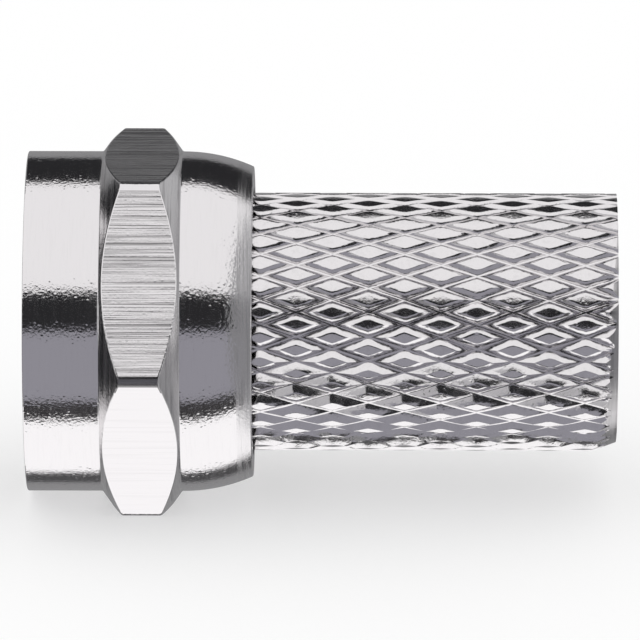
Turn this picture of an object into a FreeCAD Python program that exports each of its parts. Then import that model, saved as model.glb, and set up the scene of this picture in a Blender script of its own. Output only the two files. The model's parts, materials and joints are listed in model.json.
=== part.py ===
import FreeCAD, Part
import math
import os
import Sketcher

# A twist-on coaxial plug lying on its side. The common axis is X, the nut's mouth
# is the plane x = 0 and the knurled sleeve points along +X. One flat of the
# hexagon faces down, so +Z is up.

# Driving dimensions in millimetres, unless a line says otherwise.
SIZES = {
    # Coupling nut, from its mouth to the rolled lip
    "port_bore": 9.56,
    "port_depth": 4.65,
    "mouth_chamfer": 0.25,
    "nut_wall": 0.44,
    "flat_step": 0.11,
    "corner_break": 0.066,
    "hex_length": 2.52,
    "hex_chamfer_angle": 35.5,  # degrees from the hexagon's end plane
    "hex_faces": 6,  # count
    "rear_collar": 0.05,
    "relief_depth": 0.17,
    "relief_width": 0.45,
    "web_step": 0.45,
    "web_thickness": 0.4,
    "chamber_straight": 0.1,
    "roll_length": 1.9,
    "roll_lead": 0.3,
    "lip_face": 0.67,
    # Connector body, from its contact face to the cable end
    "boss_proud": 0.1,
    "boss_chamfer": 0.12,
    "flange_height": 0.715,
    "flange_thickness": 1.0,
    "flange_chamfer": 0.3,
    "neck_width": 0.3,
    "neck_undercut": 0.05,
    "sleeve_reach": 11.49,
    "sleeve_wall": 0.585,
    "core_bore": 5.0,
    "core_depth": 2.55,
    "core_lead": 0.15,
    "cable_bore": 7.0,
    "bore_cone": 0.6,
    "cable_lead": 0.12,
    "end_chamfer": 0.14,
    "end_chamfer_angle": 20,  # degrees from the axis
    "end_runout": 0.15,
    # Diamond knurl on the sleeve
    "knurl_starts": 32,  # count, for each hand
    "knurl_spacing": 2.268,
    "knurl_depth": 0.15,
    "crest_width": 0.44,
    "first_row": 0.065,
    "first_row_turn": 5,  # degrees from the top
    "knurl_allowance": 0.1,
    # Running clearances between the nut and the body
    "boss_clearance": 0.15,
    "flange_clearance": 0.15,
    "flange_gap": 0.05,
    "lip_clearance": 0.16,
}

# Radii and places that follow from the driving dimensions. Places along the nut are
# counted from its mouth, and places along the body from its contact face.
PLACES = {
    # Radii, from the sleeve outwards and from the port's thread inwards
    "crest_radius": "sizes.cable_bore / 2 + sizes.sleeve_wall",
    "root_radius": "crest_radius - sizes.knurl_depth",
    "neck_radius": "root_radius - sizes.neck_undercut",
    "blank_radius": "crest_radius + sizes.knurl_allowance",
    "flange_radius": "crest_radius + sizes.flange_height",
    "flange_back_radius": "flange_radius - sizes.flange_chamfer",
    "chamber_radius": "flange_radius + sizes.flange_clearance",
    "port_radius": "sizes.port_bore / 2",
    "mouth_radius": "port_radius + sizes.mouth_chamfer",
    "relief_radius": "port_radius + sizes.relief_depth",
    "web_radius": "min(port_radius; chamber_radius) - sizes.web_step",
    "boss_radius": "web_radius - sizes.boss_clearance",
    "boss_face_radius": "boss_radius - sizes.boss_chamfer",
    "collar_radius": "max(port_radius; chamber_radius) + sizes.nut_wall",
    "flat_radius": "collar_radius + sizes.flat_step",
    "sharp_radius": "flat_radius / cos(180deg / sizes.hex_faces)",
    "corner_radius": "sharp_radius - sizes.corner_break",
    "flat_top": "2 * sharp_radius",
    "flat_right": "sharp_radius",
    "flat_left": "-sharp_radius",
    "lip_inner_radius": "crest_radius + sizes.lip_clearance",
    "lip_outer_radius": "lip_inner_radius + sizes.lip_face",
    "core_radius": "sizes.core_bore / 2",
    "core_mouth_radius": "core_radius + sizes.core_lead",
    "cable_radius": "sizes.cable_bore / 2",
    "cable_mouth_radius": "cable_radius + sizes.cable_lead",
    # Places along the nut
    "web_front": "sizes.port_depth + sizes.boss_proud",
    "relief_start": "web_front - sizes.relief_width",
    "web_rear": "web_front + sizes.web_thickness",
    "roll_start": "web_rear + sizes.chamber_straight",
    "nut_rear": "roll_start + sizes.roll_length",
    "outer_roll_start": "roll_start - sizes.roll_lead",
    "hex_end": "outer_roll_start - sizes.rear_collar",
    "hex_start": "hex_end - sizes.hex_length",
    "hex_chamfer_run": "(corner_radius - collar_radius) * tan(sizes.hex_chamfer_angle * 1deg)",
    "corner_start": "hex_start + hex_chamfer_run",
    "corner_end": "hex_end - hex_chamfer_run",
    # Places along the body
    "flange_front": "sizes.boss_proud + sizes.web_thickness + sizes.flange_gap",
    "flange_rear": "flange_front + sizes.flange_thickness",
    "flange_edge": "flange_rear - sizes.flange_chamfer",
    "knurl_start": "flange_rear + sizes.neck_width",
    "body_rear": "nut_rear - sizes.port_depth + sizes.sleeve_reach",
    "cable_start": "sizes.core_depth + sizes.bore_cone",
    "cable_end": "body_rear - sizes.cable_lead",
    # End chamfer, a cone about an axis that lies end_runout above the sleeve's own
    "chamfer_slope": "tan(sizes.end_chamfer_angle * 1deg)",
    "chamfer_top": "blank_radius + 2 * sizes.end_runout",
    "chamfer_tip": "crest_radius - sizes.end_chamfer * (1 + chamfer_slope)",
    "chamfer_tip_height": "chamfer_tip + sizes.end_runout",
    "chamfer_top_height": "chamfer_top + sizes.end_runout",
    "chamfer_far": "body_rear + sizes.end_chamfer",
    "chamfer_near": "chamfer_far - (chamfer_top - chamfer_tip) / chamfer_slope",
}

# How a sketch numbers its upright axis and the points of its lines and arcs
_, UPRIGHT_AXIS = range(-1, -3, -1)
START, END, CENTRE = range(1, 4)


def filled_sheet(doc, name, cells):
    """A spreadsheet with one named value in each row."""
    sheet = doc.addObject("Spreadsheet::Sheet", name)
    for row, alias in enumerate(cells, start=1):
        sheet.set(f"A{row}", alias)
        sheet.setAlias(f"B{row}", alias)
    for row, content in enumerate(cells.values(), start=1):
        sheet.set(f"B{row}", content)
    doc.recompute()
    return sheet


def reference(alias):
    """The expression that reads a named value from the sheet that holds it."""
    return f"sizes.{alias}" if alias in SIZES else f"places.{alias}"


def value(doc, alias):
    """The number behind a named value."""
    sheet = doc.sizes if alias in SIZES else doc.places
    return float(sheet.get(alias))


def origin_feature(body, role):
    """A plane or axis of the body's own origin."""
    for feature in body.Origin.OriginFeatures:
        if feature.Role == role:
            return feature
    raise LookupError(role)


def new_sketch(body, name, role):
    """An empty sketch on one of the body's origin planes."""
    sketch = body.newObject("Sketcher::SketchObject", name)
    sketch.AttachmentSupport = (origin_feature(body, role), [""])
    sketch.MapMode = "FlatFace"
    return sketch


def hold(sketch, kind, geometry, point, alias):
    """Ties a point's distance from the sketch's origin to a named value."""
    size = value(sketch.Document, alias)
    index = sketch.addConstraint(Sketcher.Constraint(kind, geometry, point, size))
    sketch.setExpression(f"Constraints[{index}]", reference(alias))


def flat_point(doc, corner):
    """A corner, given as the names of its place and height, as a point of the sketch."""
    place, height = corner
    along = value(doc, place) if place else 0
    return FreeCAD.Vector(along, value(doc, height), 0)


def rolled_arc(level, low):
    """The arc that leaves the level point along the axis and drops to the low point."""
    run = low.x - level.x
    drop = level.y - low.y
    radius = (run * run + drop * drop) / (2 * drop)
    circle = Part.Circle(level - FreeCAD.Vector(0, radius, 0), FreeCAD.Vector(0, 0, 1), radius)
    return Part.ArcOfCircle(circle, math.asin(1 - drop / radius), math.pi / 2)


def draw_outline(sketch, corners, rolled=()):
    """Draws a closed outline through the corners, each tied to its named place and height.

    The stretches that start at the corners listed in rolled are arcs, level at the
    end nearer the sketch's origin. All others are straight.
    """
    doc = sketch.Document
    count = len(corners)
    ends = []
    for index, corner in enumerate(corners):
        first = flat_point(doc, corner)
        second = flat_point(doc, corners[(index + 1) % count])
        if index not in rolled:
            geometry = sketch.addGeometry(Part.LineSegment(first, second), False)
            ends.append((geometry, START, END))
        elif first.x < second.x:
            geometry = sketch.addGeometry(rolled_arc(first, second), False)
            ends.append((geometry, END, START))
        else:
            geometry = sketch.addGeometry(rolled_arc(second, first), False)
            ends.append((geometry, START, END))
    for index, (geometry, first, second) in enumerate(ends):
        following, following_first, _ = ends[(index + 1) % count]
        sketch.addConstraint(
            Sketcher.Constraint("Coincident", geometry, second, following, following_first)
        )
        if index in rolled:
            sketch.addConstraint(Sketcher.Constraint("Vertical", geometry, CENTRE, geometry, END))
        place, height = corners[index]
        if place:
            hold(sketch, "DistanceX", geometry, first, place)
        else:
            sketch.addConstraint(
                Sketcher.Constraint("PointOnObject", geometry, first, UPRIGHT_AXIS)
            )
        hold(sketch, "DistanceY", geometry, first, height)


def coupling_nut(doc):
    """The nut: turned with its two collars and rolled lip, then given its flats."""
    body = doc.addObject("PartDesign::Body", "nut")
    body.Label = "coupling_nut"
    section = new_sketch(body, "nut_section", "XZ_Plane")
    corners = [
        (None, "mouth_radius"),
        (None, "collar_radius"),
        ("hex_start", "collar_radius"),
        ("corner_start", "corner_radius"),
        ("corner_end", "corner_radius"),
        ("hex_end", "collar_radius"),
        ("outer_roll_start", "collar_radius"),
        ("nut_rear", "lip_outer_radius"),
        ("nut_rear", "lip_inner_radius"),
        ("roll_start", "chamber_radius"),
        ("web_rear", "chamber_radius"),
        ("web_rear", "web_radius"),
        ("web_front", "web_radius"),
        ("web_front", "relief_radius"),
        ("relief_start", "relief_radius"),
        ("relief_start", "port_radius"),
        ("mouth_chamfer", "port_radius"),
    ]
    outer_roll = corners.index(("outer_roll_start", "collar_radius"))
    inner_roll = corners.index(("nut_rear", "lip_inner_radius"))
    draw_outline(section, corners, (outer_roll, inner_roll))

    turning = body.newObject("PartDesign::Revolution", "nut_turning")
    turning.Profile = section
    turning.ReferenceAxis = (section, ["H_Axis"])
    turning.Angle = 360
    doc.recompute()
    round_volume = body.Shape.Volume

    flat = new_sketch(body, "flat_section", "YZ_Plane")
    draw_outline(
        flat,
        [
            ("flat_left", "flat_radius"),
            ("flat_right", "flat_radius"),
            ("flat_right", "flat_top"),
            ("flat_left", "flat_top"),
        ],
    )
    milling = body.newObject("PartDesign::Pocket", "flat_milling")
    milling.Profile = flat
    milling.Type = "ThroughAll"
    milling.Reversed = True
    pattern = body.newObject("PartDesign::PolarPattern", "hexagon")
    pattern.Originals = [milling]
    pattern.Axis = (origin_feature(body, "X_Axis"), [""])
    pattern.Angle = 360
    pattern.setExpression("Occurrences", "sizes.hex_faces")
    body.Tip = pattern
    doc.recompute()
    if body.Shape.Volume >= round_volume:
        raise RuntimeError("the flats cut nothing from the nut")
    return body


def body_blank(doc):
    """The connector body as turned, before its knurl, with its end chamfer."""
    body = doc.addObject("PartDesign::Body", "blank")
    body.Label = "body_blank"
    section = new_sketch(body, "body_section", "XZ_Plane")
    corners = [
        (None, "core_mouth_radius"),
        (None, "boss_face_radius"),
        ("boss_chamfer", "boss_radius"),
        ("flange_front", "boss_radius"),
        ("flange_front", "flange_radius"),
        ("flange_edge", "flange_radius"),
        ("flange_rear", "flange_back_radius"),
        ("flange_rear", "neck_radius"),
        ("knurl_start", "neck_radius"),
        ("knurl_start", "blank_radius"),
        ("body_rear", "blank_radius"),
        ("body_rear", "cable_mouth_radius"),
        ("cable_end", "cable_radius"),
        ("cable_start", "cable_radius"),
        ("core_depth", "core_radius"),
        ("core_lead", "core_radius"),
    ]
    draw_outline(section, corners)
    turning = body.newObject("PartDesign::Revolution", "body_turning")
    turning.Profile = section
    turning.ReferenceAxis = (section, ["H_Axis"])
    turning.Angle = 360
    doc.recompute()
    square_volume = body.Shape.Volume

    chamfer = new_sketch(body, "chamfer_section", "XZ_Plane")
    draw_outline(
        chamfer,
        [
            ("chamfer_near", "chamfer_top_height"),
            ("chamfer_far", "chamfer_top_height"),
            ("chamfer_far", "chamfer_tip_height"),
        ],
    )
    runout = value(doc, "end_runout")
    reach = value(doc, "body_rear")
    axis_line = Part.LineSegment(FreeCAD.Vector(0, runout, 0), FreeCAD.Vector(reach, runout, 0))
    axis = chamfer.addGeometry(axis_line, True)
    chamfer.addConstraint(Sketcher.Constraint("Horizontal", axis))
    chamfer.addConstraint(Sketcher.Constraint("PointOnObject", axis, START, UPRIGHT_AXIS))
    hold(chamfer, "DistanceY", axis, START, "end_runout")
    hold(chamfer, "DistanceX", axis, END, "body_rear")
    turned_end = body.newObject("PartDesign::Groove", "end_chamfer")
    turned_end.Profile = chamfer
    turned_end.ReferenceAxis = (chamfer, ["Axis0"])
    turned_end.Angle = 360
    body.Tip = turned_end
    doc.recompute()
    if body.Shape.Volume >= square_volume:
        raise RuntimeError("the end chamfer cuts nothing from the sleeve")
    return body


def ring_point(along, across, height, angle):
    """A point given beside the knurl cell's own centre line, turned about the axis."""
    side = across * math.cos(angle) + height * math.sin(angle)
    up = height * math.cos(angle) - across * math.sin(angle)
    return FreeCAD.Vector(along, side, up)


def flat_face(points):
    """A flat face with straight edges."""
    return Part.Face(Part.makePolygon(points + points[:1]))


class Knurl:
    """The diamonds that two crossed sets of helical grooves leave on the sleeve.

    A cell is one diamond: a flat crest and four flat flanks that run down to the
    middle of the grooves round it. Neighbouring rows are shifted by half a cell.
    """

    def __init__(self, doc):
        crest = value(doc, "crest_radius")
        root = value(doc, "root_radius")
        self.starts = round(value(doc, "knurl_starts"))
        self.turn = math.radians(value(doc, "first_row_turn"))
        self.half_turn = math.pi / self.starts
        self.half_length = value(doc, "knurl_spacing") / 2
        self.root = root
        self.crest_side = value(doc, "crest_width") / 2
        self.crest_height = math.sqrt(crest * crest - self.crest_side * self.crest_side)
        # The crest's half length that keeps each flank flat
        side_point = FreeCAD.Vector(0, self.crest_side, self.crest_height)
        groove_side = FreeCAD.Vector(
            0, root * math.sin(self.half_turn), root * math.cos(self.half_turn)
        )
        groove_end = FreeCAD.Vector(self.half_length, 0, root)
        normal = (groove_side - side_point).cross(groove_end - side_point)
        self.crest_end = normal.y * side_point.y / normal.x

    def row_angle(self, row, cell):
        """The angle of a cell's centre line about the axis."""
        return self.turn + (2 * cell + row % 2) * self.half_turn

    def cell_faces(self, place, angle, ends):
        """The crest and flanks of a cell, or of the half of it that lies towards one end."""

        def crest(end):
            return ring_point(place + end * self.crest_end, 0, self.crest_height, angle)

        def crest_corner(side):
            return ring_point(place, side * self.crest_side, self.crest_height, angle)

        def groove(end):
            return ring_point(place + end * self.half_length, 0, self.root, angle)

        def groove_corner(side):
            return ring_point(place, 0, self.root, angle + side * self.half_turn)

        outline = [crest_corner(-1), crest(ends[0]), crest_corner(1)]
        if len(ends) == 2:
            outline.append(crest(ends[1]))
        faces = [flat_face(outline)]
        for end in ends:
            for side in (-1, 1):
                loop = [crest(end), groove(end), groove_corner(side), crest_corner(side)]
                faces.append(flat_face(loop))
        return faces

    def end_face(self, place, row):
        """The serrated face that closes the bar through the middle of a row."""
        outline = []
        for cell in range(self.starts):
            angle = self.row_angle(row, cell)
            outline.append(ring_point(place, 0, self.root, angle - self.half_turn))
            outline.append(ring_point(place, -self.crest_side, self.crest_height, angle))
            outline.append(ring_point(place, self.crest_side, self.crest_height, angle))
        return flat_face(outline)

    def bar(self, start, rows):
        """A solid knurled bar that begins and ends in the middle of a row."""
        faces = []
        for row in range(rows + 1):
            place = start + row * self.half_length
            ends = (-1, 1)
            if row == 0:
                ends = (1,)
            elif row == rows:
                ends = (-1,)
            for cell in range(self.starts):
                faces.extend(self.cell_faces(place, self.row_angle(row, cell), ends))
            if len(ends) == 1:
                faces.append(self.end_face(place, row))
        skin = Part.Compound(faces)
        skin.sewShape()
        solid = Part.Solid(skin.Shells[0])
        return solid if solid.Volume > 0 else solid.reversed()


def knurl_cutter(doc):
    """The ring that, cut from the turned blank, leaves the knurl's diamonds."""
    knurl = Knurl(doc)
    start = value(doc, "flange_rear") + value(doc, "first_row")
    rows = math.ceil((value(doc, "body_rear") - start) / knurl.half_length) + 1
    length = rows * knurl.half_length
    radius = value(doc, "blank_radius") + value(doc, "knurl_allowance")
    axis = FreeCAD.Vector(1, 0, 0)
    tube = Part.makeCylinder(radius, length, FreeCAD.Vector(start, 0, 0), axis)
    cutter = doc.addObject("Part::Feature", "knurl_cutter")
    cutter.Label = "knurl_cutter"
    cutter.Shape = tube.cut(knurl.bar(start, rows))
    cutter.Placement = FreeCAD.Placement()
    return cutter


def connector_body(doc):
    """The knurled body, seated so that its contact face lies at the port's depth."""
    knurled = doc.addObject("Part::Cut", "knurled_body")
    knurled.Label = "connector_body"
    knurled.Base = body_blank(doc)
    knurled.Tool = knurl_cutter(doc)
    knurled.setExpression("Placement.Base.x", "sizes.port_depth")
    return knurled


def check(doc, pieces):
    """Stops the build if any object failed or a piece isn't one sound solid."""
    for item in doc.Objects:
        if "Invalid" in item.State or "Error" in item.State:
            raise RuntimeError(f"{item.Label} failed: {item.State}")
    for piece in pieces:
        shape = piece.Shape
        if shape.isNull() or not shape.isValid() or len(shape.Solids) != 1:
            raise RuntimeError(f"{piece.Label} is not one valid solid")


document = FreeCAD.newDocument("coaxial_plug")
filled_sheet(document, "sizes", {alias: str(number) for alias, number in SIZES.items()})
filled_sheet(document, "places", {alias: f"={rule}" for alias, rule in PLACES.items()})
sub_parts = [coupling_nut(document), connector_body(document)]
document.recompute()
check(document, sub_parts)

os.makedirs("parts", exist_ok=True)
for sub_part in sub_parts:
    sub_part.Shape.exportStep(f"parts/{sub_part.Label}.step")
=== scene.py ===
import json
import math

import bmesh
import bpy
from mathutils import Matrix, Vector, noise


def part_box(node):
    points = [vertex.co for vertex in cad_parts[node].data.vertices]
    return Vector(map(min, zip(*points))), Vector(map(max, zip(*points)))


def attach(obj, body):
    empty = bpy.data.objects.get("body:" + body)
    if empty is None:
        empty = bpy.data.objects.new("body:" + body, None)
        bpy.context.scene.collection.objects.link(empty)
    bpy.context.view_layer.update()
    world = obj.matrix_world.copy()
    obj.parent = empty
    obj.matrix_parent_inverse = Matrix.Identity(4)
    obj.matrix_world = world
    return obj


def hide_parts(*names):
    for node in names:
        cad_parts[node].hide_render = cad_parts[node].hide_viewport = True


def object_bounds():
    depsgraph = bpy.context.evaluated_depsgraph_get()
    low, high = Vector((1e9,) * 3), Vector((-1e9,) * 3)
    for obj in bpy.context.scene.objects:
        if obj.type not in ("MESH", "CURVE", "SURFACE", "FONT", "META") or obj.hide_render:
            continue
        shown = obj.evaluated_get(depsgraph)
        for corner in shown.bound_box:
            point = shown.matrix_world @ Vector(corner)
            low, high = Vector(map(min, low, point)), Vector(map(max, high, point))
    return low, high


# A twist-on coaxial plug lying on its side: a nickel-plated nut with a hexagon and a
# rolled rear lip, which turns freely on a diamond-knurled sleeve. The common axis is X.
# Pieces are shaped in millimetres and brought to metres when they are finished.

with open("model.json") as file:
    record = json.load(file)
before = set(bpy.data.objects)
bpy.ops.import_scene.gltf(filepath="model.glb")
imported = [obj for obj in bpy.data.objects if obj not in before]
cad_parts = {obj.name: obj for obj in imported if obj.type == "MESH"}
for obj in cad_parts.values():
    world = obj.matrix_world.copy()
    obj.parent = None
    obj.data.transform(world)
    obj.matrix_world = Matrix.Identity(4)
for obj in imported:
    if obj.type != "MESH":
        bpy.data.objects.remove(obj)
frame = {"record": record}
cad_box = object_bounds()

MM = 0.001
MM_PER_M = 1000.0

# Turned forms, in millimetres
mounts = {mount["name"]: mount for mount in frame["record"]["mounts"]}
PORT_RADIUS = mounts["port_thread"]["dims"]["r_mm"]
CABLE_RADIUS = mounts["cable_bore"]["dims"]["r_mm"]
CORE_RADIUS = mounts["core_bore"]["dims"]["r_mm"]
nut_low, nut_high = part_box("coupling_nut")
body_low, body_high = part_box("connector_body")
NUT_REAR = nut_high.x * MM_PER_M
FLAT_RADIUS = nut_high.z * MM_PER_M
CONTACT_FACE = body_low.x * MM_PER_M
SLEEVE_END = body_high.x * MM_PER_M
FLANGE_RADIUS = body_high.z * MM_PER_M

COLLAR_STEP = 0.11
COLLAR_RADIUS = FLAT_RADIUS - COLLAR_STEP
CORNER_RADIUS = 6.284
CORNER_ROUNDING = 0.36
HEX_FACES = 6
HEX_START = 2.38
HEX_END = 4.9
HEX_CHAMFER_ANGLE = math.radians(35.5)
MOUTH_CHAMFER = 0.25
RELIEF_START = 4.3
RELIEF_RADIUS = 4.95
WEB_FRONT = 4.75
WEB_REAR = 5.15
WEB_RADIUS = 4.33
CHAMBER_RADIUS = 4.95
OUTER_ROLL_START = 4.95
ROLL_START = 5.25
LIP_INNER_RADIUS = 4.245
LIP_OUTER_RADIUS = 4.915
LIP_SHINE_END = 6.6
EDGE_BREAK = 0.035
BROKEN_EDGE_LIMIT = math.radians(25)
BAR_CORNER_LIMIT = math.radians(50)
BEVEL_STEPS = 2
ROLL_STEPS = 14

CREST_RADIUS = 4.085
BOSS_RADIUS = 4.18
BOSS_CHAMFER = 0.12
FLANGE_FRONT = 5.2
FLANGE_REAR = 6.2
FLANGE_CHAMFER = 0.3
NECK_RADIUS = 3.885
KNURL_START = 6.5
CORE_LEAD = 0.15
CORE_END = 7.2
CABLE_START = 7.8
CABLE_LEAD = 0.12
END_CHAMFER = 0.14
END_CHAMFER_ANGLE = math.radians(20)
END_RUNOUT = 0.15

# Threads: start, end, pitch, crest radius, and the ridge's width at its base and crest
PORT_THREAD = (0.55, 3.95, 0.794, 4.37, (0.68, 0.1))
CABLE_THREAD = (8.2, 18.0, 1.1, 3.2, (0.6, 0.06))

# Diamond knurl, in millimetres
KNURL_STARTS = 32
KNURL_SPACING = 2.268
KNURL_DEPTH = 0.15
GROOVE_FILL = 0.006
LATER_GROOVE_RISE = 0.006
FIRST_ROW = 6.265
FIRST_ROW_TURN = math.radians(5)
CELL_DIVISIONS = 6

ROUND_SEGMENTS = 384
TURN_STEPS = 96
MERGE_DISTANCE = 1e-3
CUT_TOLERANCE = 1e-5
NUT_SMOOTH_ANGLE = 15
SLEEVE_SMOOTH_ANGLE = 30


def clear_selection():
    """Leaves no object selected and none in edit mode."""
    if bpy.context.object and bpy.context.object.mode != "OBJECT":
        bpy.ops.object.mode_set(mode="OBJECT")
    bpy.ops.object.select_all(action="DESELECT")


def take(piece):
    """Makes a piece the only selected one and the active one."""
    clear_selection()
    piece.select_set(True)
    bpy.context.view_layer.objects.active = piece


def edit(piece):
    """Opens a piece's mesh with all of it selected."""
    take(piece)
    bpy.ops.object.mode_set(mode="EDIT")
    bpy.ops.mesh.select_mode(type="VERT")
    bpy.ops.mesh.select_all(action="SELECT")


def close_edit():
    """Ends edit mode."""
    bpy.ops.object.mode_set(mode="OBJECT")


def select_by_place(piece, chosen):
    """Selects, in edit mode, the vertices whose place the test accepts."""
    bpy.ops.mesh.select_all(action="DESELECT")
    mesh = bmesh.from_edit_mesh(piece.data)
    for vertex in mesh.verts:
        vertex.select_set(chosen(vertex.co))
    mesh.select_flush(True)
    bmesh.update_edit_mesh(piece.data)


def apply_modifier(piece, kind, name, **settings):
    """Adds a modifier with these settings and applies it."""
    take(piece)
    modifier = piece.modifiers.new(name, kind)
    for setting, content in settings.items():
        setattr(modifier, setting, content)
    bpy.ops.object.modifier_apply(modifier=name)


def keep_common(piece, other):
    """Keeps what a piece shares with another closed form, which is then removed."""
    apply_modifier(
        piece, "BOOLEAN", "common", operation="INTERSECT", solver="MANIFOLD", object=other
    )
    bpy.data.objects.remove(other, do_unlink=True)


def start_ring(name, place, radius, segments=ROUND_SEGMENTS):
    """A ring of edges about the X axis, the start of a turned piece."""
    clear_selection()
    bpy.ops.mesh.primitive_circle_add(
        vertices=segments, radius=radius, location=(place, 0, 0), rotation=(0, math.pi / 2, 0)
    )
    piece = bpy.context.object
    piece.name = name
    piece.data.name = name
    bpy.ops.object.transform_apply(location=True, rotation=True, scale=True)
    edit(piece)
    return piece


def turn_on(start, stations):
    """Carries the selected ring through the stations, each a place and a radius."""
    place, radius = start
    for next_place, next_radius in stations:
        bpy.ops.mesh.extrude_region_move()
        bpy.ops.transform.translate(value=(next_place - place, 0, 0))
        ratio = next_radius / radius
        bpy.ops.transform.resize(value=(1, ratio, ratio), center_override=(next_place, 0, 0))
        place, radius = next_place, next_radius


def close_turning(piece):
    """Joins the first and last rings of a turned piece and turns its faces outwards."""
    bpy.ops.mesh.select_all(action="DESELECT")
    bpy.ops.mesh.select_non_manifold(extend=False)
    bpy.ops.mesh.bridge_edge_loops()
    bpy.ops.mesh.select_all(action="SELECT")
    bpy.ops.mesh.remove_doubles(threshold=CUT_TOLERANCE)
    bpy.ops.mesh.normals_make_consistent(inside=False)
    close_edit()


def rolled(level, low, steps):
    """Stations on the arc that leaves the level end along the axis and ends at the low one."""
    run = low[0] - level[0]
    drop = level[1] - low[1]
    radius = (run * run + drop * drop) / (2 * drop)
    arc = []
    for step in range(1, steps + 1):
        along = run * step / steps
        arc.append((level[0] + along, level[1] - radius + math.sqrt(radius**2 - along**2)))
    return arc


def finish_piece(piece, body, node, smooth_angle):
    """Brings a shaped piece to metres, smooths it and ties it to the part."""
    take(piece)
    piece.scale = (MM, MM, MM)
    bpy.ops.object.transform_apply(location=True, rotation=True, scale=True)
    bpy.ops.object.shade_smooth_by_angle(angle=math.radians(smooth_angle))
    apply_modifier(piece, "WEIGHTED_NORMAL", "even_shading", weight=60, keep_sharp=True)
    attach(piece, body)
    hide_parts(node)


# Coupling nut


def nut_shell():
    """The nut: turned inside and out, cut to its hexagon, with every edge slightly broken."""
    chamfer_run = (CORNER_RADIUS - COLLAR_RADIUS) * math.tan(HEX_CHAMFER_ANGLE)
    mouth = (0.0, PORT_RADIUS + MOUTH_CHAMFER)
    outside = [
        (0.0, COLLAR_RADIUS),
        (HEX_START, COLLAR_RADIUS),
        (HEX_START + chamfer_run, CORNER_RADIUS),
        (HEX_END - chamfer_run, CORNER_RADIUS),
        (HEX_END, COLLAR_RADIUS),
        (OUTER_ROLL_START, COLLAR_RADIUS),
    ]
    outside += rolled(outside[-1], (NUT_REAR, LIP_OUTER_RADIUS), ROLL_STEPS)
    inside = rolled((ROLL_START, CHAMBER_RADIUS), (NUT_REAR, LIP_INNER_RADIUS), ROLL_STEPS)
    inside.reverse()
    inside += [
        (WEB_REAR, CHAMBER_RADIUS),
        (WEB_REAR, WEB_RADIUS),
        (WEB_FRONT, WEB_RADIUS),
        (WEB_FRONT, RELIEF_RADIUS),
        (RELIEF_START, RELIEF_RADIUS),
        (RELIEF_START, PORT_RADIUS),
        (MOUTH_CHAMFER, PORT_RADIUS),
    ]
    nut = start_ring("nut_shell", *mouth)
    turn_on(mouth, outside + inside)
    close_turning(nut)

    clear_selection()
    sharp_radius = FLAT_RADIUS / math.cos(math.pi / HEX_FACES)
    bpy.ops.mesh.primitive_cylinder_add(
        vertices=HEX_FACES,
        radius=sharp_radius,
        depth=4 * NUT_REAR,
        rotation=(0, math.pi / 2, 0),
    )
    hexagon = bpy.context.object
    bpy.ops.object.transform_apply(location=True, rotation=True, scale=True)
    apply_modifier(
        hexagon,
        "BEVEL",
        "rounded_bar",
        width=CORNER_ROUNDING * math.tan(math.pi / HEX_FACES),
        segments=BEVEL_STEPS,
        limit_method="ANGLE",
        angle_limit=BAR_CORNER_LIMIT,
    )
    keep_common(nut, hexagon)
    apply_modifier(
        nut,
        "BEVEL",
        "broken_edges",
        width=EDGE_BREAK,
        segments=BEVEL_STEPS,
        limit_method="ANGLE",
        angle_limit=BROKEN_EDGE_LIMIT,
    )
    return nut


def thread_turns(name, wall_radius, start, end, pitch, crest_radius, widths):
    """A helical ridge that stands inwards from a bore and fades into it at both ends."""
    base_width, crest_width = widths
    sink = 0.03
    clear_selection()
    bpy.ops.mesh.primitive_plane_add(size=1)
    ridge = bpy.context.object
    ridge.name = name
    ridge.data.name = name
    edit(ridge)
    bpy.ops.transform.rotate(value=math.pi / 2, orient_axis="X", center_override=(0, 0, 0))
    depth = wall_radius + sink - crest_radius
    bpy.ops.transform.resize(value=(base_width, 1, depth), center_override=(0, 0, 0))
    bpy.ops.transform.translate(value=(start, 0, (wall_radius + sink + crest_radius) / 2))
    middle = (wall_radius + crest_radius) / 2
    select_by_place(ridge, lambda co: co.z < middle)
    taper = crest_width / base_width
    bpy.ops.transform.resize(value=(taper, 1, 1), center_override=(start, 0, 0))
    bpy.ops.mesh.select_all(action="SELECT")
    bpy.ops.mesh.delete(type="ONLY_FACE")
    close_edit()
    turns = (end - start) / pitch
    apply_modifier(
        ridge,
        "SCREW",
        "turns",
        axis="X",
        angle=2 * math.pi * turns,
        screw_offset=end - start,
        steps=round(TURN_STEPS * turns),
        iterations=1,
        use_merge_vertices=False,
    )
    sections = len(ridge.data.vertices) // 4
    fade = TURN_STEPS / 6
    for vertex in ridge.data.vertices:
        section = vertex.index // 4
        share = min(1, section / fade, (sections - 1 - section) / fade)
        radius = math.hypot(vertex.co.y, vertex.co.z)
        if radius < middle:
            sunk = wall_radius + sink / 2 + (radius - wall_radius - sink / 2) * share
            vertex.co.y *= sunk / radius
            vertex.co.z *= sunk / radius
    edit(ridge)
    bpy.ops.mesh.fill_holes(sides=4)
    bpy.ops.mesh.normals_make_consistent(inside=False)
    close_edit()
    return ridge


def add_form(piece, other):
    """Makes one closed form of a piece and another, which is then removed."""
    apply_modifier(piece, "BOOLEAN", "sum", operation="UNION", solver="MANIFOLD", object=other)
    bpy.data.objects.remove(other, do_unlink=True)


# Connector body


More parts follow.
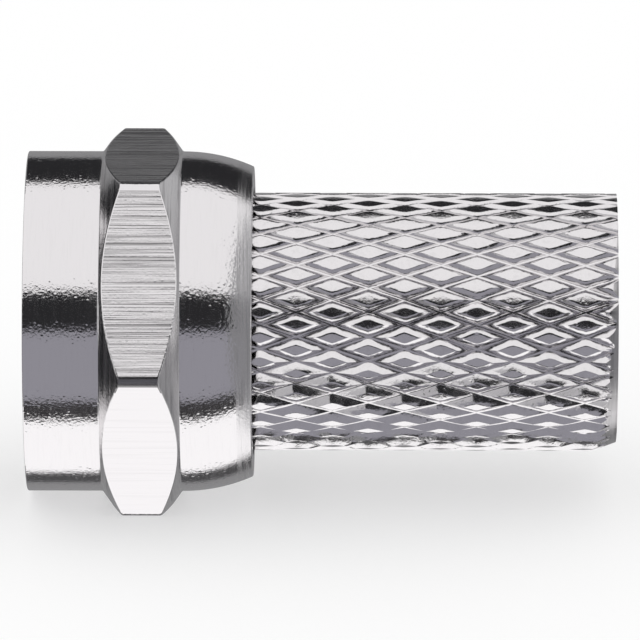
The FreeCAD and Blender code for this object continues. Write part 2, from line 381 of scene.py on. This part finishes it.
def knurl_sheet():
    """The knurl laid flat: diamonds with rounded crests and grooves, side by side."""
    half_length = KNURL_SPACING / 2
    half_width = math.pi * CREST_RADIUS / KNURL_STARTS
    reach = half_length * half_width / math.hypot(half_length, half_width)
    # Distance from the middle of a groove, and height against the crest
    profile = [
        (0.190, 0.0),
        (0.185, -0.002),
        (0.172, -0.010),
        (0.110, -0.052),
        (0.036, 0.022 - KNURL_DEPTH),
        (0.027, GROOVE_FILL + 0.003 - KNURL_DEPTH),
        (0.0, GROOVE_FILL - KNURL_DEPTH),
    ]
    shares = [1 - distance / reach for distance, _ in profile]
    clear_selection()
    bpy.ops.mesh.primitive_grid_add(
        x_subdivisions=CELL_DIVISIONS, y_subdivisions=CELL_DIVISIONS, size=math.sqrt(2)
    )
    sheet = bpy.context.object
    sheet.name = "knurled_sleeve"
    sheet.data.name = "knurled_sleeve"
    edit(sheet)
    bpy.ops.transform.rotate(value=math.pi / 4, orient_axis="Z", center_override=(0, 0, 0))
    scale = (half_length * shares[0], half_width * shares[0], 1)
    bpy.ops.transform.resize(value=scale, center_override=(0, 0, 0))
    bpy.ops.mesh.select_all(action="DESELECT")
    bpy.ops.mesh.select_non_manifold()
    for index in range(1, len(profile)):
        bpy.ops.mesh.extrude_region_move()
        ratio = shares[index] / shares[index - 1]
        bpy.ops.transform.resize(value=(ratio, ratio, 1), center_override=(0, 0, 0))
        drop = profile[index][1] - profile[index - 1][1]
        bpy.ops.transform.translate(value=(0, 0, drop))
    bpy.ops.mesh.select_all(action="SELECT")
    bpy.ops.mesh.duplicate_move(TRANSFORM_OT_translate={"value": (half_length, half_width, 0)})
    bpy.ops.mesh.select_all(action="SELECT")
    bpy.ops.transform.translate(value=(FIRST_ROW, 0, 0))
    close_edit()
    apply_modifier(
        sheet,
        "ARRAY",
        "round_the_sleeve",
        count=KNURL_STARTS,
        use_relative_offset=False,
        use_constant_offset=True,
        constant_offset_displace=(0, 2 * half_width, 0),
    )
    apply_modifier(
        sheet,
        "ARRAY",
        "along_the_sleeve",
        count=math.ceil((SLEEVE_END - FIRST_ROW) / KNURL_SPACING) + 1,
        use_relative_offset=False,
        use_constant_offset=True,
        constant_offset_displace=(KNURL_SPACING, 0, 0),
    )
    return sheet


def shape_crests(sheet):
    """Rounds each diamond's crest and lifts the later set of grooves between the crossings.

    The tool bit deeper on the sides and the underside, so crests are smaller there.
    The grooves that were rolled first are cut through by the others.
    """
    level_length, top_length = 0.88, 0.34
    level_width, top_width = 0.80, 0.45
    level_bite, top_bite = 1.16, 0.27
    own_change = 0.08
    least_top_share = -0.2
    own_grain = 4
    straight_side = 0.55
    groove_height = 0.2
    middle_share = 1e-6

    def top_share(turn):
        return max(math.cos(turn), least_top_share)

    half_length = KNURL_SPACING / 2
    half_width = math.pi * CREST_RADIUS / KNURL_STARTS
    for vertex in sheet.data.vertices:
        cell_along = (vertex.co.x - FIRST_ROW) / half_length
        cell_across = vertex.co.y / half_width
        falling = round((cell_along + cell_across) / 2)
        rising = round((cell_along - cell_across) / 2)
        along = cell_along - falling - rising
        across = cell_across - falling + rising
        share = abs(along) + abs(across)
        if share < middle_share:
            continue
        turn = FIRST_ROW_TURN + (falling - rising) * half_width / CREST_RADIUS
        own_place = (falling + rising, own_grain * math.sin(turn), own_grain * math.cos(turn))
        own = noise.noise(Vector(own_place))
        length = level_length + top_length * top_share(turn) + own_change * own
        width = level_width + top_width * top_share(turn) + own_change * own
        end = along / share
        bell = 0.5 + 0.5 * math.cos(math.pi * end)
        side = straight_side * (1 - abs(end)) + (1 - straight_side) * bell
        crest_along = length * share * end
        crest_across = math.copysign(width * share * side, across) if across else 0.0
        high = max(0, 1 + vertex.co.z / (KNURL_DEPTH - GROOVE_FILL))
        vertex.co.x += (crest_along - along) * half_length * high
        vertex.co.y += (crest_across - across) * half_width * high
        if high < groove_height and along * across < 0:
            middle = math.sqrt(4 * abs(end) * (1 - abs(end)))
            vertex.co.z += LATER_GROOVE_RISE * middle
        own_turn = FIRST_ROW_TURN + cell_across * half_width / CREST_RADIUS
        vertex.co.z *= level_bite - top_bite * top_share(own_turn)


def wear_knurl(sheet):
    """Gives the knurl the wavy edges and unevenness that rolling leaves, and a plain end.

    The grooves run out along the last of the sleeve, least of all at its top.
    """
    edge_wave = 0.014
    edge_grain = 7.0
    crest_wave = 0.005
    crest_grain = 1.6
    foot_rise = 0.012
    foot_grain = 1.3
    bite_change = 0.3
    bite_grain = 0.75
    end_margin = 0.24
    end_groove = 0.04
    groove_height = 0.2
    elsewhere = Vector((9, 9, 9))
    far_away = Vector((0, 0, 99))
    for vertex in sheet.data.vertices:
        turn = vertex.co.y / CREST_RADIUS
        place = Vector(
            (vertex.co.x, CREST_RADIUS * math.sin(turn), CREST_RADIUS * math.cos(turn))
        )
        vertex.co.z *= 1 + bite_change * noise.noise(place * bite_grain + elsewhere)
        if vertex.co.x > SLEEVE_END - end_margin:
            top_share = max(0, math.cos(turn + FIRST_ROW_TURN))
            groove = end_groove + (KNURL_DEPTH - end_groove) * top_share
            vertex.co.z = max(vertex.co.z, -groove)
        height = 1 + vertex.co.z / KNURL_DEPTH
        if height < groove_height:
            vertex.co.z += foot_rise * max(0, noise.noise(place * foot_grain))
            continue
        along = noise.noise(place * edge_grain)
        across = noise.noise(place * edge_grain + far_away)
        rise = noise.noise(place * crest_grain)
        vertex.co.x += edge_wave * height * along
        vertex.co.y += edge_wave * height * across
        vertex.co.z += crest_wave * min(0, rise)


def roll_sheet(sheet):
    """Rolls the flat knurl round the axis: its second coordinate becomes the turn."""
    for vertex in sheet.data.vertices:
        turn = FIRST_ROW_TURN + vertex.co.y / CREST_RADIUS
        radius = CREST_RADIUS + vertex.co.z
        vertex.co.y = radius * math.sin(turn)
        vertex.co.z = radius * math.cos(turn)


def set_ring_radius(piece, radius):
    """Brings each selected vertex to this radius about the axis."""
    mesh = bmesh.from_edit_mesh(piece.data)
    for vertex in mesh.verts:
        if vertex.select:
            now = math.hypot(vertex.co.y, vertex.co.z)
            vertex.co.y *= radius / now
            vertex.co.z *= radius / now
    bmesh.update_edit_mesh(piece.data)


def knurled_sleeve():
    """The one-piece body: knurled sleeve, neck, flange, contact boss and bores."""
    sleeve = knurl_sheet()
    shape_crests(sleeve)
    wear_knurl(sleeve)
    roll_sheet(sleeve)
    edit(sleeve)
    bpy.ops.mesh.remove_doubles(threshold=MERGE_DISTANCE)
    bpy.ops.mesh.bisect(
        plane_co=(KNURL_START, 0, 0),
        plane_no=(1, 0, 0),
        clear_inner=True,
        threshold=CUT_TOLERANCE,
    )
    bpy.ops.mesh.select_all(action="SELECT")
    bpy.ops.mesh.bisect(
        plane_co=(SLEEVE_END, 0, 0),
        plane_no=(1, 0, 0),
        clear_outer=True,
        threshold=CUT_TOLERANCE,
    )
    front = KNURL_START + 2 * CUT_TOLERANCE
    select_by_place(sleeve, lambda co: co.x < front)
    bpy.ops.mesh.extrude_region_move()
    set_ring_radius(sleeve, NECK_RADIUS)
    turn_on(
        (KNURL_START, NECK_RADIUS),
        [
            (FLANGE_REAR, NECK_RADIUS),
            (FLANGE_REAR, FLANGE_RADIUS - FLANGE_CHAMFER),
            (FLANGE_REAR - FLANGE_CHAMFER, FLANGE_RADIUS),
            (FLANGE_FRONT, FLANGE_RADIUS),
            (FLANGE_FRONT, BOSS_RADIUS),
            (CONTACT_FACE + BOSS_CHAMFER, BOSS_RADIUS),
            (CONTACT_FACE, BOSS_RADIUS - BOSS_CHAMFER),
            (CONTACT_FACE, CORE_RADIUS + CORE_LEAD),
            (CONTACT_FACE + CORE_LEAD, CORE_RADIUS),
            (CORE_END, CORE_RADIUS),
            (CABLE_START, CABLE_RADIUS),
            (SLEEVE_END - CABLE_LEAD, CABLE_RADIUS),
            (SLEEVE_END, CABLE_RADIUS + CABLE_LEAD),
        ],
    )
    close_turning(sleeve)

    clear_selection()
    slope = math.tan(END_CHAMFER_ANGLE)
    far_end = SLEEVE_END + END_CHAMFER
    far_radius = CREST_RADIUS - END_CHAMFER * (1 + slope)
    bpy.ops.mesh.primitive_cone_add(
        vertices=ROUND_SEGMENTS,
        radius1=far_radius + slope * far_end,
        radius2=far_radius,
        depth=far_end,
        location=(far_end / 2, 0, END_RUNOUT),
        rotation=(0, math.pi / 2, 0),
    )
    keep_common(sleeve, bpy.context.object)
    return sleeve


# Finishes

PLATE = (0.80, 0.785, 0.79)
GRAIN_DETAIL = 2.0
LINE_DETAIL = 3.0
LINE_ROUGHNESS = 0.65
SPECK_FINENESS = 5200.0
SPECK_REACH = 0.3
MICROMETRE = 1e-6
LINES_SHOWN = (0.35, 0.65)
# Where tool lines darken the plate: partly painted shade in the grooves, partly the plate's
# own tone.
LINES_DARKENED = (0.32, 0.5)
# The smoothest and the roughest, grain per metre, tool lines per metre along each axis,
# heights of grain, lines and specks in micrometres, and the tones of the deepest lines
# and of the rest against the plain plate. The darker lines are painted shade in the
# grooves as well as the plate's own tone there.
FINISHES = {
    "turned_collar": ((0.08, 0.13), 11000, (12000, 900, 900), (5.5, 1.0, 4.0), 0.98, 1.0),
    "drawn_flat": ((0.09, 0.18), 11000, (110, 11500, 11500), (2.0, 9.0, 1.5), 0.3, 1.0),
    "smooth_flat": ((0.09, 0.15), 11000, (110, 8500, 8500), (2.5, 2.5, 2.0), 0.95, 1.0),
    "rolled_lip": ((0.16, 0.26), 11000, (14000, 400, 400), (3.0, 4.0, 2.0), 0.85, 1.0),
    "turned_chamfer": ((0.12, 0.22), 12000, (9000, 350, 350), (2.0, 5.0, 1.5), 0.6, 1.0),
    # Rounded hexagon corners: rougher plate, darkened to about a third and its lines darker
    # still, as painted shade.
    "rough_corner_painted_shade": ((0.2, 0.3), 11000, (110, 8500, 8500), (3.0, 4.0, 2.0), 0.12, 0.35),
    "rolled_knurl": ((0.10, 0.18), 12000, (4000, 4000, 4000), (3.0, 3.5, 3.0), 0.95, 1.0),
    "turned_end": ((0.28, 0.36), 12000, (9000, 350, 350), (2.0, 4.0, 1.5), 0.55, 0.75),
    "turned_bore": ((0.16, 0.26), 12000, (13000, 900, 900), (1.5, 2.5, 0.0), 0.85, 1.0),
}
# Limits that tell the finishes apart, for a face's place in millimetres, for its normal's
# share outwards, along X or upwards, and for its facing in degrees
LIP_MARGIN = 0.1
LIP_LEAST_OUTWARD = 0.5
BORE_MARGIN = 0.02
BORE_MOST_OUTWARD = 0.9
HEX_MARGIN = 0.01
CHAMFER_LEAST_ALONG = 0.4
FLAT_MOST_ALONG = 0.05
FLAT_MOST_TURNED = 2
SMOOTH_MOST_UPWARD = -0.2
CORNER_MARGIN = 0.15
CORNER_MOST_UPWARD = 0.5
CABLE_MARGIN = 0.2
END_CHAMFER_MARGIN = 0.015
END_REACH = 1
# Sockets of the node that mixes two colours
MIX_SHARE, MIX_FIRST, MIX_SECOND, MIX_RESULT = 0, 6, 7, 2


def new_group(name, inputs, outputs):
    """An empty node group with these named sockets, each a kind and a plain value."""
    group = bpy.data.node_groups.new(name, "ShaderNodeTree")
    for label, (kind, content) in inputs.items():
        socket = group.interface.new_socket(name=label, in_out="INPUT", socket_type=kind)
        if content is not None:
            socket.default_value = content
    for label, kind in outputs.items():
        group.interface.new_socket(name=label, in_out="OUTPUT", socket_type=kind)
    entry = group.nodes.new("NodeGroupInput")
    leave = group.nodes.new("NodeGroupOutput")
    return group, entry, leave


def maths(nodes, links, operation, first, second=None):
    """A math node fed by sockets or plain numbers. Returns its value."""
    node = nodes.new("ShaderNodeMath")
    node.operation = operation
    for slot_number, feed in enumerate((first, second)):
        if isinstance(feed, (int, float)):
            node.inputs[slot_number].default_value = feed
        elif feed is not None:
            links.new(feed, node.inputs[slot_number])
    return node.outputs["Value"]


def grain_group():
    """Surface height from plating grain and from lines that run one way over the metal."""
    group, entry, leave = new_group(
        "metal_surface",
        {
            "Place": ("NodeSocketVector", None),
            "Grain Fineness": ("NodeSocketFloat", 20000.0),
            "Grain Depth": ("NodeSocketFloat", 1.0),
            "Line Stretch": ("NodeSocketVector", (1.0, 1.0, 1.0)),
            "Line Depth": ("NodeSocketFloat", 1.0),
            "Speck Depth": ("NodeSocketFloat", 0.0),
        },
        {"Height": "NodeSocketFloat", "Lines": "NodeSocketFloat"},
    )
    nodes = group.nodes
    links = group.links
    grain = nodes.new("ShaderNodeTexNoise")
    grain.inputs["Detail"].default_value = GRAIN_DETAIL
    links.new(entry.outputs["Place"], grain.inputs["Vector"])
    links.new(entry.outputs["Grain Fineness"], grain.inputs["Scale"])
    stretch = nodes.new("ShaderNodeVectorMath")
    stretch.operation = "MULTIPLY"
    links.new(entry.outputs["Place"], stretch.inputs[0])
    links.new(entry.outputs["Line Stretch"], stretch.inputs[1])
    lines = nodes.new("ShaderNodeTexNoise")
    lines.inputs["Scale"].default_value = 1.0
    lines.inputs["Detail"].default_value = LINE_DETAIL
    lines.inputs["Roughness"].default_value = LINE_ROUGHNESS
    links.new(stretch.outputs["Vector"], lines.inputs["Vector"])
    grain_height = maths(
        nodes, links, "MULTIPLY", grain.outputs["Fac"], entry.outputs["Grain Depth"]
    )
    line_height = maths(
        nodes, links, "MULTIPLY", lines.outputs["Fac"], entry.outputs["Line Depth"]
    )
    height = maths(nodes, links, "ADD", grain_height, line_height)
    specks = nodes.new("ShaderNodeTexVoronoi")
    specks.inputs["Scale"].default_value = SPECK_FINENESS
    links.new(entry.outputs["Place"], specks.inputs["Vector"])
    speck = nodes.new("ShaderNodeMapRange")
    speck.inputs["From Max"].default_value = SPECK_REACH
    speck.inputs["To Min"].default_value = 1.0
    speck.inputs["To Max"].default_value = 0.0
    links.new(specks.outputs["Distance"], speck.inputs["Value"])
    speck_height = maths(
        nodes, links, "MULTIPLY", speck.outputs["Result"], entry.outputs["Speck Depth"]
    )
    height = maths(nodes, links, "ADD", height, speck_height)
    links.new(height, leave.inputs["Height"])
    links.new(lines.outputs["Fac"], leave.inputs["Lines"])
    return group


metal_surface = grain_group()


def nickel(name, roughness, grain, lines, depths, deep_tone, tone):
    """Nickel plate with its own grain and the lines that its tool left, as in FINISHES."""
    material = bpy.data.materials.new(name)
    material.use_nodes = True
    nodes = material.node_tree.nodes
    links = material.node_tree.links
    shader = nodes["Principled BSDF"]
    shader.inputs["Metallic"].default_value = 1.0
    place = nodes.new("ShaderNodeTexCoord")
    surface = nodes.new("ShaderNodeGroup")
    surface.node_tree = metal_surface
    surface.inputs["Grain Fineness"].default_value = grain
    surface.inputs["Grain Depth"].default_value = depths[0]
    surface.inputs["Line Stretch"].default_value = lines
    surface.inputs["Line Depth"].default_value = depths[1]
    surface.inputs["Speck Depth"].default_value = depths[2]
    links.new(place.outputs["Object"], surface.inputs["Place"])
    spread = nodes.new("ShaderNodeMapRange")
    spread.inputs["From Min"].default_value = LINES_SHOWN[0]
    spread.inputs["From Max"].default_value = LINES_SHOWN[1]
    spread.inputs["To Min"].default_value = roughness[0]
    spread.inputs["To Max"].default_value = roughness[1]
    links.new(surface.outputs["Lines"], spread.inputs["Value"])
    links.new(spread.outputs["Result"], shader.inputs["Roughness"])
    # The tool lines darken the plate towards the deep tone: painted shade in the grooves,
    # together with the plate's own tone there.
    depth = nodes.new("ShaderNodeMapRange")
    depth.inputs["From Min"].default_value = LINES_DARKENED[0]
    depth.inputs["From Max"].default_value = LINES_DARKENED[1]
    links.new(surface.outputs["Lines"], depth.inputs["Value"])
    shade = nodes.new("ShaderNodeMix")
    shade.data_type = "RGBA"
    shade.inputs[MIX_FIRST].default_value = (*(deep_tone * part for part in PLATE), 1.0)
    shade.inputs[MIX_SECOND].default_value = (*(tone * part for part in PLATE), 1.0)
    links.new(depth.outputs["Result"], shade.inputs[MIX_SHARE])
    links.new(shade.outputs[MIX_RESULT], shader.inputs["Base Color"])
    bump = nodes.new("ShaderNodeBump")
    bump.inputs["Distance"].default_value = MICROMETRE
    bump.inputs["Strength"].default_value = 1.0
    links.new(surface.outputs["Height"], bump.inputs["Height"])
    links.new(bump.outputs["Normal"], shader.inputs["Normal"])
    return material


plates = {name: nickel(name, *settings) for name, settings in FINISHES.items()}


def dress(piece, finishes, choose):
    """Gives each face the finish that the choice names for its middle and its normal."""
    piece.data.materials.clear()
    for finish in finishes:
        piece.data.materials.append(plates[finish])
    for face in piece.data.polygons:
        face.material_index = finishes.index(choose(face.center * MM_PER_M, face.normal))


def nut_finish(middle, normal):
    """The finish of one face of the nut. Flats that face down are smoother."""
    radius = math.hypot(middle.y, middle.z)
    outward = (middle.y * normal.y + middle.z * normal.z) / radius
    on_rear = middle.x > OUTER_ROLL_START and radius > LIP_OUTER_RADIUS - LIP_MARGIN
    if on_rear and outward > LIP_LEAST_OUTWARD:
        return "turned_collar" if middle.x < LIP_SHINE_END else "rolled_lip"
    if radius < RELIEF_RADIUS + BORE_MARGIN and outward < BORE_MOST_OUTWARD:
        return "turned_bore"
    if HEX_START < middle.x < HEX_END and radius > COLLAR_RADIUS + HEX_MARGIN:
        if abs(normal.x) > CHAMFER_LEAST_ALONG:
            return "turned_chamfer"
        facing = math.degrees(math.atan2(normal.z, normal.y)) % (360 / HEX_FACES)
        turned = abs(facing - 180 / HEX_FACES)
        if abs(normal.x) < FLAT_MOST_ALONG and turned < FLAT_MOST_TURNED:
            return "smooth_flat" if normal.z < SMOOTH_MOST_UPWARD else "drawn_flat"
        # The corners that face sideways get the darkened plate: painted shade.
        if radius > CORNER_RADIUS - CORNER_MARGIN and abs(normal.z) < CORNER_MOST_UPWARD:
            return "rough_corner_painted_shade"
    return "turned_collar"


def sleeve_finish(middle, normal):
    """The finish of one face of the body: knurled, turned inside, or the end's chamfer."""
    radius = math.hypot(middle.y, middle.z)
    if middle.x < KNURL_START or radius < CABLE_RADIUS + CABLE_MARGIN:
        return "turned_bore"
    chamfered = abs(normal.x - math.sin(END_CHAMFER_ANGLE)) < END_CHAMFER_MARGIN
    return "turned_end" if chamfered and middle.x > SLEEVE_END - END_REACH else "rolled_knurl"


nut = nut_shell()
add_form(nut, thread_turns("port_turns", PORT_RADIUS, *PORT_THREAD))
finish_piece(nut, "nut", "coupling_nut", NUT_SMOOTH_ANGLE)
nut_finishes = [
    "turned_collar",
    "drawn_flat",
    "rolled_lip",
    "turned_chamfer",
    "turned_bore",
    "smooth_flat",
    "rough_corner_painted_shade",
]
dress(nut, nut_finishes, nut_finish)

sleeve = knurled_sleeve()
add_form(sleeve, thread_turns("cable_turns", CABLE_RADIUS, *CABLE_THREAD))
finish_piece(sleeve, "connector", "connector_body", SLEEVE_SMOOTH_ANGLE)
dress(sleeve, ["rolled_knurl", "turned_bore", "turned_end"], sleeve_finish)

# Studio, in metres

FLOOR_SIZE = 6
FLOOR_COLOUR = 0.55

clear_selection()
bpy.ops.mesh.primitive_plane_add(size=FLOOR_SIZE, location=(0, 0, cad_box[0].z))
floor = bpy.context.object
floor.name = "floor"
floor.visible_glossy = False


def floor_finish():
    """White table: plain diffuse, lifted to white for the camera so that shadows stay."""
    material = bpy.data.materials.new("white_table")
    material.use_nodes = True
    nodes = material.node_tree.nodes
    links = material.node_tree.links
    nodes.clear()
    diffuse = nodes.new("ShaderNodeBsdfDiffuse")
    diffuse.inputs["Color"].default_value = (FLOOR_COLOUR, FLOOR_COLOUR, FLOOR_COLOUR, 1)
    glow = nodes.new("ShaderNodeEmission")
    rays = nodes.new("ShaderNodeLightPath")
    seen = maths(
        nodes, links, "ADD", rays.outputs["Is Camera Ray"], rays.outputs["Is Glossy Ray"]
    )
    seen = maths(nodes, links, "ADD", seen, rays.outputs["Is Transmission Ray"])
    lift = maths(nodes, links, "MULTIPLY", seen, 1 - FLOOR_COLOUR)
    links.new(lift, glow.inputs["Strength"])
    both = nodes.new("ShaderNodeAddShader")
    output = nodes.new("ShaderNodeOutputMaterial")
    links.new(diffuse.outputs["BSDF"], both.inputs[0])
    links.new(glow.outputs["Emission"], both.inputs[1])
    links.new(both.outputs["Shader"], output.inputs["Surface"])
    return material


floor.data.materials.append(floor_finish())

# Light and dark cards round the object, seen only in its plate. Angles are in degrees
# about the X axis: 0 is level towards the camera's side, 90 straight up and -90 down.
BLACK = (0.025, 0.025, 0.027)
DIM = (0.048, 0.046, 0.048)
SHADE = (0.085, 0.084, 0.087)
GREY = (0.28, 0.28, 0.285)
MAUVE = (0.323, 0.319, 0.358)
PALE = (0.55, 0.545, 0.56)
LIGHT = (0.98, 0.97, 0.98)
WHITE = (1.17, 1.16, 1.17)
# First angle, then the far left card, the left one, the middle one and the right one
FIRST_ANGLE, FAR_LEFT, LEFT, MIDDLE, RIGHT = range(5)
CARDS = [
    (-180.0, BLACK, GREY, GREY, (0.30, 0.30, 0.31)),
    (-125.0, DIM, GREY, SHADE, (0.20, 0.20, 0.21)),
    (-107.5, WHITE, WHITE, WHITE, (0.46, 0.46, 0.47)),
    (-53.5, GREY, GREY, DIM, (0.30, 0.30, 0.31)),
    (-39.0, MAUVE, MAUVE, MAUVE, (0.26, 0.26, 0.27)),
    (10.5, DIM, PALE, BLACK, (0.26, 0.26, 0.27)),
    (37.5, LIGHT, LIGHT, LIGHT, (0.41, 0.41, 0.42)),
    (125.0, BLACK, GREY, BLACK, (0.48, 0.48, 0.49)),
    (164.0, BLACK, GREY, GREY, (0.51, 0.51, 0.52)),
]
CARD_RADIUS = 2.0
CARD_SEGMENTS = 720
# Along X. Left of the first one every card is black.
DARK_CARDS_END = -2.9
FAR_LEFT_CARDS_END = -1.6
LEFT_CARDS_END = -0.6
RIGHT_CARDS_START = 1.25
LAST_CARD_END = 11.4


def card_colour(middle):
    """The colour of the card that holds this place."""
    if middle.x < DARK_CARDS_END:
        return BLACK
    turn = math.degrees(math.atan2(middle.z, -middle.y))
    side = MIDDLE
    if middle.x < FAR_LEFT_CARDS_END:
        side = FAR_LEFT
    elif middle.x < LEFT_CARDS_END:
        side = LEFT
    elif middle.x > RIGHT_CARDS_START:
        side = RIGHT
    colour = CARDS[0][side]
    for card in CARDS:
        if turn > card[FIRST_ANGLE]:
            colour = card[side]
    return colour


def studio_cards():
    """The ring of cards: glowing by the colour on each face, and seen by glossy rays alone."""
    stations = [
        DARK_CARDS_END,
        FAR_LEFT_CARDS_END,
        LEFT_CARDS_END,
        RIGHT_CARDS_START,
        LAST_CARD_END,
    ]
    start = (-LAST_CARD_END, CARD_RADIUS)
    cards = start_ring("studio_cards", *start, segments=CARD_SEGMENTS)
    turn_on(start, [(place, CARD_RADIUS) for place in stations])
    close_edit()
    mesh = cards.data
    glow = mesh.color_attributes.new(name="card_colour", type="FLOAT_COLOR", domain="CORNER")
    for face in mesh.polygons:
        colour = card_colour(face.center)
        for corner in face.loop_indices:
            glow.data[corner].color = (*colour, 1)
    material = bpy.data.materials.new("card_glow")
    material.use_nodes = True
    nodes = material.node_tree.nodes
    links = material.node_tree.links
    nodes.clear()
    painted = nodes.new("ShaderNodeVertexColor")
    painted.layer_name = "card_colour"
    emission = nodes.new("ShaderNodeEmission")
    output = nodes.new("ShaderNodeOutputMaterial")
    links.new(painted.outputs["Color"], emission.inputs["Color"])
    links.new(emission.outputs["Emission"], output.inputs["Surface"])
    material.cycles.emission_sampling = "NONE"
    mesh.materials.append(material)
    cards.visible_camera = False
    cards.visible_diffuse = False
    cards.visible_transmission = False
    cards.visible_volume_scatter = False
    cards.visible_shadow = False


studio_cards()


def studio_light():
    """Even white light from all round, which is the white background too."""
    world = bpy.data.worlds.new("studio")
    bpy.context.scene.world = world
    world.use_nodes = True
    background = world.node_tree.nodes["Background"]
    background.inputs["Color"].default_value = (1, 1, 1, 1)
    background.inputs["Strength"].default_value = 1.0


studio_light()

# Camera, placed as the photograph's: slightly above and far away

CAMERA_AZIMUTH = math.radians(0.54)
CAMERA_ELEVATION = math.radians(17.7)
CAMERA_DISTANCE = 0.288
VIEW_WIDTH = 0.02032
SENSOR_WIDTH = 36.0
AIM = Vector((9.25 * MM, 0, 0.05 * MM))

lens = bpy.data.cameras.new("camera")
lens.sensor_width = SENSOR_WIDTH
lens.lens = SENSOR_WIDTH * CAMERA_DISTANCE / VIEW_WIDTH
lens.clip_start = 0.01
lens.clip_end = 10
camera = bpy.data.objects.new("camera", lens)
bpy.context.scene.collection.objects.link(camera)
back = Vector(
    (
        math.sin(CAMERA_AZIMUTH) * math.cos(CAMERA_ELEVATION),
        -math.cos(CAMERA_AZIMUTH) * math.cos(CAMERA_ELEVATION),
        math.sin(CAMERA_ELEVATION),
    )
)
camera.location = AIM + back * CAMERA_DISTANCE
camera.rotation_euler = (-back).to_track_quat("-Z", "Y").to_euler()
bpy.context.scene.camera = camera
bpy.context.scene.view_settings.view_transform = "Standard"
